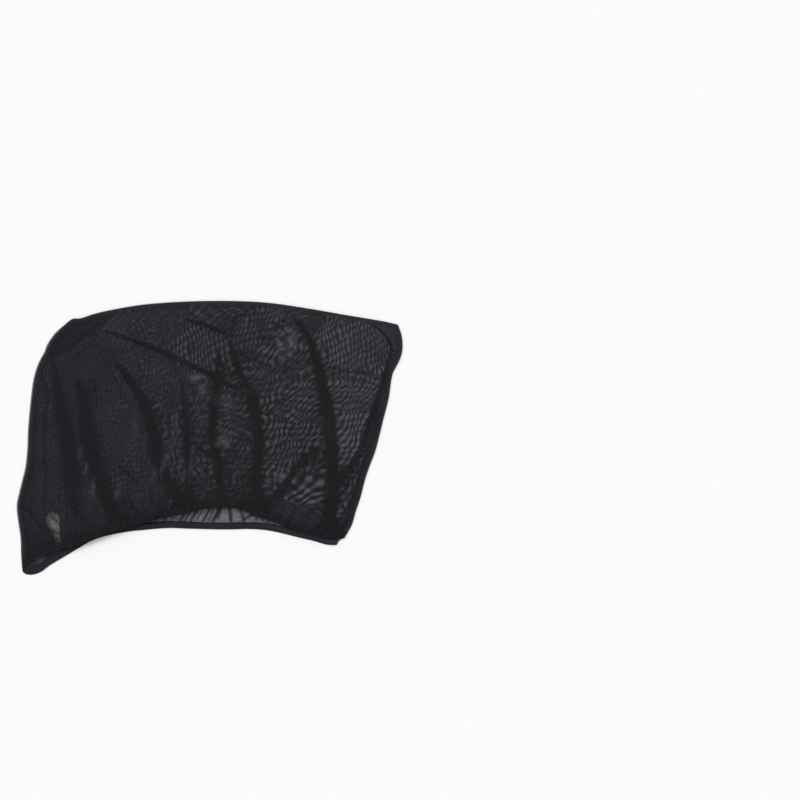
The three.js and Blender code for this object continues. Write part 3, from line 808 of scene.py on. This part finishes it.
def front_net(material):
    """The upper net with its folds, gathers and keyhole, and the keyhole's outline."""
    grid = patch(FRONT_HEM_EDGE, FRONT_LEFT_SIDE, RIGHT_SIDE, FRONT_TOP_EDGE, FRONT_COLUMNS, FRONT_ROWS)
    flat = grid.reshape(-1, 2)
    level, from_seam = rest_level(flat)
    from_hem = np.abs(nearest_on(flat, front_hem_line[::4])[0])
    u = np.tile(np.linspace(0, 1, FRONT_COLUMNS + 1), FRONT_ROWS + 1)
    free = (1 - np.exp(-from_seam / SEAM_HOLD)) * ramp(from_hem, *HEM_HOLD)
    folds = fold_moves(flat)
    shift, lift = folds[:2]
    thin = thin_creases(flat)
    soft = BROAD_WAVE[0] * noise(flat, BROAD_WAVE[1], 1) + SMALL_WAVE[0] * noise(flat, SMALL_WAVE[1], 2)
    height = level + free * (lift + soft - CREASE_DEPTH * thin) + hem_ripple(u, from_hem, from_seam)
    points = np.column_stack([flat + shift * free[:, None], height])
    faces = grid_faces(FRONT_ROWS, FRONT_COLUMNS)
    # The keyhole: faces inside it go, and the points round it move onto its outline
    outline, ring = keyhole_ring()
    hidden = inside(points[:, :2], outline)
    kept = ~hidden[faces].all(axis=1)
    rim = hidden & np.isin(np.arange(len(points)), faces[kept])
    side, _, normal = nearest_on(points[rim, :2], ring)
    points[rim, :2] -= side[:, None] * normal
    faces = faces[kept]
    used, faces = np.unique(faces, return_inverse=True)
    obj = mesh_object("front_net", points[used], faces.reshape(-1, 4), material)
    looks = front_looks(flat, pixels_of(flat), u, from_seam, from_hem, ring, folds, thin)
    for name, values in looks.items():
        paint(obj, name, values[used])
    return obj, outline


def rear_crease_shade(flat):
    """The shade of the rear net's single creases."""
    total = np.zeros(len(flat))
    for foot, head, width, dark in REAR_CREASE_SHADES:
        line = spot([foot, head])
        side = nearest_on(flat, line)[0]
        total = np.maximum(total, dark * np.exp(-((side / (width * MM)) ** 2)))
    return total


def rear_net(material):
    """The lower net, flat on the floor, with shallow gathers at its hem."""
    grid = patch(REAR_HEM_EDGE, LEFT_SIDE, REAR_RIGHT_FOOT + RIGHT_SIDE, TOP_EDGE, REAR_COLUMNS, REAR_ROWS)
    flat = grid.reshape(-1, 2)
    where = pixels_of(flat)
    from_hem = np.abs(nearest_on(flat, rear_hem_line[::4])[0])
    from_seam = np.abs(nearest_on(flat, sewn_line)[0])
    u = np.tile(np.linspace(0, 1, REAR_COLUMNS + 1), REAR_ROWS + 1)
    ripple = gathers(u, from_hem, *REAR_GATHERS)
    inner = (1 - np.exp(-from_seam / 0.02)) * ramp(from_hem, HEM_WIDTH * 0.8, HEM_WIDTH * 1.5)
    height = REAR_LEVEL + (HEM_THICKNESS / 2 - REAR_LEVEL) * (1 - ramp(from_hem, HEM_WIDTH, HEM_WIDTH * 1.3))
    height += inner * MM * (1.1 * np.clip(0.6 + ripple, 0, 2) + 0.25 + 0.25 * noise(flat, 0.03, 8))
    points = np.column_stack([flat, height])
    obj = mesh_object("rear_net", points, grid_faces(REAR_ROWS, REAR_COLUMNS), material)
    mouth = np.exp(-np.sum(((where - MOUTH) / MOUTH_REACH) ** 4, axis=1))
    patch_light = 0.5 * np.exp(-np.sum(((where - MOUTH_LIGHT) / MOUTH_LIGHT_REACH) ** 2, axis=1))
    below_hole = np.abs(where[:, 0] - KEYHOLE_MIDDLE) < KEYHOLE_HALF_WIDTH
    low_hole = 0.15 * ramp(where[:, 1], *KEYHOLE_LOW) * below_hole
    # Painted shade in the gathers, the creases, the open mouth and low behind the keyhole, less at the
    # mouth's light spot
    shade = 0.45 * np.clip(ripple - 0.75, 0, 1) * np.exp(-from_hem / 0.09)
    shade = np.maximum.reduce([shade, rear_crease_shade(flat), mouth, low_hole]) - patch_light
    paint(obj, "shade", np.clip(shade, 0, 1.1))
    # Painted light over the whole rear net, a little more in the mouth
    paint(obj, "gleam", 0.03 + 0.04 * mouth)
    for blank in ("green", "moire", "moire_phase", "second_phase"):
        paint(obj, blank, np.zeros(len(flat)))
    return obj


def inward_of(line, first=None, last=None):
    """Unit vectors to the left of a line, turned towards the given directions at its ends."""
    along = np.gradient(line, axis=0)
    along /= np.linalg.norm(along, axis=1)[:, None]
    left = np.stack([-along[:, 1], along[:, 0]], axis=1)
    share = np.linspace(0, 1, len(line))
    for direction, near in ((first, 1 - ramp(share, 0, 0.05)), (last, ramp(share, 0.95, 1))):
        if direction is not None:
            pull = near[:, None]
            left = (1 - pull) * left + pull * np.array(direction) / np.linalg.norm(direction)
    return left / np.linalg.norm(left, axis=1)[:, None]


def hem_band(name, line, inward, levels, material, ripple, crease, gleam):
    """Elastic folded over the cloth's edge: a soft flat band with a round fold."""
    half = HEM_THICKNESS / 2
    section = []
    for k in range(8):
        turn = math.pi / 2 + math.pi * k / 7
        section.append((half + half * math.cos(turn), half + half * math.sin(turn)))
    for share in (0.25, 0.5, 0.75):
        section.append((half + share * (HEM_WIDTH - half), 0.0))
    section += [(HEM_WIDTH, 0.0003), (HEM_WIDTH, HEM_THICKNESS - 0.0003)]
    for share in (0.75, 0.5, 0.25):
        section.append((half + share * (HEM_WIDTH - half), HEM_THICKNESS))
    section = np.array(section)
    size = len(section)
    points = np.zeros((len(line), size, 3))
    points[:, :, :2] = line[:, None] + inward[:, None] * section[None, :, :1]
    u = np.repeat(np.linspace(0, 1, len(line)), size)
    inset = np.tile(section[:, 0], len(line))
    points[:, :, 2] = levels[:, None] + section[None, :, 1] + ripple(u, inset).reshape(-1, size)
    faces = []
    for i in range(len(line) - 1):
        for k in range(size):
            a, b = i * size + k, i * size + (k + 1) % size
            faces.append((a, b, b + size, a + size))
    faces.append(tuple(range(size))[::-1])
    last = (len(line) - 1) * size
    faces.append(tuple(range(last, last + size)))
    obj = mesh_object(name, points.reshape(-1, 3), faces, material)
    # Painted shade in the creases and painted light, from the given functions
    paint(obj, "shade", crease(u, inset))
    paint(obj, "gleam", gleam(u, inset))
    return obj


def stitch_row(line, inward, levels, inset, length, gap):
    """Places for short raised stitches along a line."""
    path = np.column_stack([line + inward * inset, levels])
    along = np.concatenate([[0], np.cumsum(np.linalg.norm(np.diff(path, axis=0), axis=1))])
    starts = np.arange(0.003, along[-1] - 0.004, length + gap)
    pieces = []
    for start in starts:
        a = np.array([np.interp(start, along, path[:, k]) for k in range(3)])
        b = np.array([np.interp(start + length, along, path[:, k]) for k in range(3)])
        pieces.append((a, b))
    return pieces


def beads(name, ends, radius, material):
    """Short raised stitches, each a small closed body between two ends."""
    points, faces = [], []
    rings = ((0.0, 0.35), (0.15, 0.9), (0.5, 1.15), (0.85, 0.9), (1.0, 0.35))
    for a, b in ends:
        ahead = (b - a) / np.linalg.norm(b - a)
        across = np.cross(ahead, [0, 0, 1])
        across /= np.linalg.norm(across)
        up = np.cross(across, ahead)
        first = len(points)
        for share, fat in rings:
            for k in range(6):
                turn = 2 * math.pi * k / 6
                out = across * math.cos(turn) + up * math.sin(turn)
                points.append(a + (b - a) * share + radius * fat * out)
        for r in range(len(rings) - 1):
            for k in range(6):
                p, q = first + r * 6 + k, first + r * 6 + (k + 1) % 6
                faces.append((p, p + 6, q + 6, q))
        faces.append(tuple(first + k for k in range(6)))
        faces.append(tuple(first + 24 + k for k in reversed(range(6))))
    return mesh_object(name, points, faces, material)


def tube(name, path, radius, material, sides=6, closed=False):
    """A thread along a path."""
    path = np.asarray(path, float)
    if closed:
        ahead = np.roll(path, -1, axis=0) - np.roll(path, 1, axis=0)
    else:
        ahead = np.gradient(path, axis=0)
    ahead /= np.linalg.norm(ahead, axis=1)[:, None]
    across = np.cross(ahead, [0, 0, 1])
    across /= np.linalg.norm(across, axis=1)[:, None]
    up = np.cross(across, ahead)
    turns = 2 * np.pi * np.arange(sides) / sides
    ring = across[:, None] * np.cos(turns)[None, :, None] + up[:, None] * np.sin(turns)[None, :, None]
    points = (path[:, None] + radius * ring).reshape(-1, 3)
    count = len(path)
    faces = []
    for i in range(count if closed else count - 1):
        j = (i + 1) % count
        for k in range(sides):
            m = (k + 1) % sides
            faces.append((i * sides + k, j * sides + k, j * sides + m, i * sides + m))
    if not closed:
        faces.append(tuple(range(sides)))
        faces.append(tuple((count - 1) * sides + k for k in reversed(range(sides))))
    return mesh_object(name, points, faces, material)


def seam_strip(material):
    """The sewn allowance, flat between the two nets."""
    line = sewn_line[4:-4]
    inward = -inward_of(line)
    inner = line + inward * SEAM_WIDTH
    outer = line + inward * 0.0008
    corners = [(outer, SEAM_LOW), (outer, SEAM_HIGH), (inner, SEAM_HIGH), (inner, SEAM_LOW)]
    points = np.stack([np.column_stack([p, np.full(len(p), z)]) for p, z in corners], axis=1)
    faces = []
    for i in range(len(line) - 1):
        for k in range(4):
            a, b = 4 * i + k, 4 * i + (k + 1) % 4
            faces.append((a, b, b + 4, a + 4))
    last = 4 * (len(line) - 1)
    faces += [(3, 2, 1, 0), (last, last + 1, last + 2, last + 3)]
    return mesh_object("seam_allowance", points.reshape(-1, 3), faces, material, smooth=False)


def overlock(material):
    """Thread that zigzags over the allowance's inner edge."""
    length = np.linalg.norm(np.diff(sewn_line, axis=0), axis=1).sum()
    line = smooth_line(sewn_line[4:-4], int(length / 0.0022), fine=8)
    inward = -inward_of(line)
    reach = np.where(np.arange(len(line)) % 2, SEAM_WIDTH * 0.55, SEAM_WIDTH + 0.0004)
    path = np.column_stack([line + inward * reach[:, None], np.full(len(line), SEAM_HIGH + 0.0002)])
    return tube("overlock_thread", path, THREAD / 2, material, sides=4)


def outer_thread(material):
    """The rolled edge of the sewn outline."""
    line = sewn_line[2:-2]
    inward = -inward_of(line)
    path = np.column_stack([line + inward * 0.0007, np.full(len(line), 0.0014)])
    return tube("rolled_edge", path, 0.0011, material, sides=8)


def dress(obj, slot, *nodes):
    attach(obj, "root")
    if nodes:
        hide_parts(*nodes)
    return obj


front_material = net_material("front_net_mesh", FRONT_OPENNESS)
rear_material = net_material("rear_net_mesh", REAR_OPENNESS)
front_elastic = elastic_material("front_elastic", *FRONT_ELASTIC)
rear_elastic = elastic_material("rear_elastic", *REAR_ELASTIC)
seam_cloth = thread_material("seam_cloth", SEAM_CLOTH_COLOUR, 700.0)
thread = thread_material("black_thread", THREAD_COLOUR, 1500.0)

front, keyhole_outline = front_net(front_material)
rear = rear_net(rear_material)
dress(front, "net_mesh", "front_panel")
dress(rear, "net_mesh", "rear_panel")

front_levels, hem_from_seam = rest_level(front_hem_line)


def front_hem_ripple(u, inset):
    from_seam = np.interp(u, np.linspace(0, 1, len(hem_from_seam)), hem_from_seam)
    return hem_ripple(u, inset, from_seam)


# Painted shade in the front hem's creases and gathers
def front_hem_shade(u, inset):
    return np.clip(0.5 * hem_crease_shade(u, inset) + 0.3 - 0.15 * gathers(u, inset, *FRONT_GATHERS), 0, 1)


def front_hem_gleam(u, inset):
    return 0.07 * (1 - ramp(u, 0.14, 0.22)) * np.exp(-(((inset - 1.2 * MM) / (1.2 * MM)) ** 2))


# Painted shade along the rear hem's two edges and in its gathers
def rear_hem_shade(u, inset):
    edges = np.exp(-(((HEM_WIDTH - inset) / 0.0014) ** 2)) + 0.9 * np.exp(-((inset / 0.0008) ** 2))
    return np.clip(edges + 0.25 * gathers(u, inset, *REAR_HEM_GATHERS) * (u < 0.8), 0, 1)


def rear_hem_gleam(u, inset):
    return 0.14 * ramp(u, 0.72, 0.9) * ramp(inset, 0.003, 0.007)


# The way into the cloth from each end of the two hems
FRONT_HEM_ENDS = ((-0.16, 0.99), (0.49, 0.87))
REAR_HEM_ENDS = ((-0.10, 0.99), (0.28, 0.96))
front_inward = inward_of(front_hem_line, *FRONT_HEM_ENDS)
rear_inward = inward_of(rear_hem_line, *REAR_HEM_ENDS)
flat_levels = np.zeros(HEM_STATIONS + 1)
front_hem = hem_band(
    "front_hem", front_hem_line, front_inward, front_levels - HEM_THICKNESS / 2, front_elastic,
    front_hem_ripple, front_hem_shade, front_hem_gleam,
)
rear_hem = hem_band(
    "rear_hem", rear_hem_line, rear_inward, flat_levels, rear_elastic,
    lambda u, inset: 0 * u, rear_hem_shade, rear_hem_gleam,
)
dress(front_hem, "hem_elastic", "front_hem_elastic")
dress(rear_hem, "hem_elastic", "rear_hem_elastic")

front_stitch_levels = front_levels + HEM_THICKNESS / 2 + front_hem_ripple(
    np.linspace(0, 1, HEM_STATIONS + 1), np.full(HEM_STATIONS + 1, HEM_WIDTH - 0.003)
)
rear_stitch_levels = np.full(HEM_STATIONS + 1, HEM_THICKNESS)
# A stitch's length and the gap to the next
STITCH = (0.0024, 0.0009)
stitches = []
for inset in (HEM_WIDTH - 0.0022, HEM_WIDTH - 0.0042):
    stitches += stitch_row(front_hem_line, front_inward, front_stitch_levels, inset, *STITCH)
    stitches += stitch_row(rear_hem_line, rear_inward, rear_stitch_levels, inset, *STITCH)
dress(beads("hem_stitches", stitches, THREAD / 2, thread), "seam_thread")

dress(seam_strip(seam_cloth), "seam_thread", "edge_seam")
dress(overlock(thread), "seam_thread")
dress(outer_thread(thread), "seam_thread")

rim_level = FRONT_EDGE_LEVEL + PUFF_HEIGHT
rim_path = np.column_stack([keyhole_outline, np.full(len(keyhole_outline), rim_level)])
dress(tube("keyhole_rim", rim_path, KEYHOLE_RIM, thread, sides=8, closed=True), "seam_thread")


def make_floor():
    """A plain pale floor."""
    bpy.ops.mesh.primitive_plane_add(size=30, location=(0, 0, -0.0003))
    floor = bpy.context.object
    floor.name = "floor"
    nodes = Nodes("pale_floor")
    nodes.shader.inputs["Base Color"].default_value = FLOOR_COLOUR
    nodes.shader.inputs["Roughness"].default_value = 1.0
    nodes.shader.inputs["Specular IOR Level"].default_value = 0.0
    floor.data.materials.append(nodes.material)


def make_lights():
    """A soft white sky and one broad lamp."""
    world = bpy.data.worlds.new("studio")
    bpy.context.scene.world = world
    world.use_nodes = True
    sky = world.node_tree.nodes["Background"]
    sky.inputs["Color"].default_value = (1, 1, 1, 1)
    sky.inputs["Strength"].default_value = 0.62
    sun = bpy.data.lights.new("softbox", "SUN")
    sun.energy = 1.45
    sun.angle = math.radians(35)
    lamp = bpy.data.objects.new("softbox", sun)
    lamp.rotation_euler = (math.radians(-32), math.radians(-22), 0)
    bpy.context.scene.collection.objects.link(lamp)


def make_camera():
    """Straight down over the middle of the photograph."""
    middle = spot((PHOTO_SIDE_PX / 2, PHOTO_SIDE_PX / 2))
    camera = bpy.data.cameras.new("camera")
    camera.sensor_width = camera.sensor_height = 36
    camera.lens = 36 * CAMERA_HEIGHT / (PHOTO_SIDE_PX * METRES_PER_PX)
    obj = bpy.data.objects.new("camera", camera)
    obj.location = (middle[0], middle[1], CAMERA_HEIGHT)
    bpy.context.scene.collection.objects.link(obj)
    bpy.context.scene.camera = obj


make_floor()
make_lights()
make_camera()
bpy.context.scene.view_settings.view_transform = "Standard"
